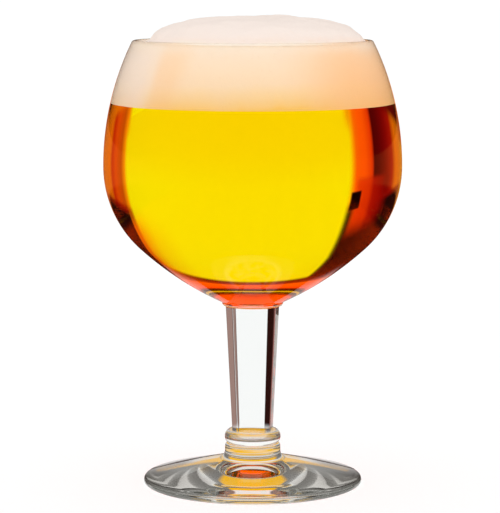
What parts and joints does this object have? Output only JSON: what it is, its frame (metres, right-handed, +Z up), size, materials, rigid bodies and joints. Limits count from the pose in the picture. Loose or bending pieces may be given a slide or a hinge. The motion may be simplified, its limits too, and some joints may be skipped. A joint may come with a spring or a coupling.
{
  "type": "chalice beer glass",
  "caption": "Stemmed chalice glass with a round bowl, a tapered square stem with cut corners, a collar and a low conical foot, filled with golden beer under a cream foam head.",
  "frame": {"origin": "middle of the foot's underside, in the plane that the foot rests on", "axes": "+Z up along the stem and bowl axis; +X and +Y square to two faces of the stem"},
  "size_m": [0.1, 0.1, 0.1584],
  "materials": {
    "bowl_glass": "clear, fire-polished",
    "pressed_glass": "clear, pressed, with softly rounded edges",
    "beer": "clear golden liquid",
    "foam": "fine dense cream foam"
  },
  "bodies": {
    "root": {"foot": "pressed_glass", "collar": "pressed_glass", "stem": "pressed_glass", "bowl": "bowl_glass", "beer": "beer", "foam_head": "foam"}
  },
  "joints": []
}
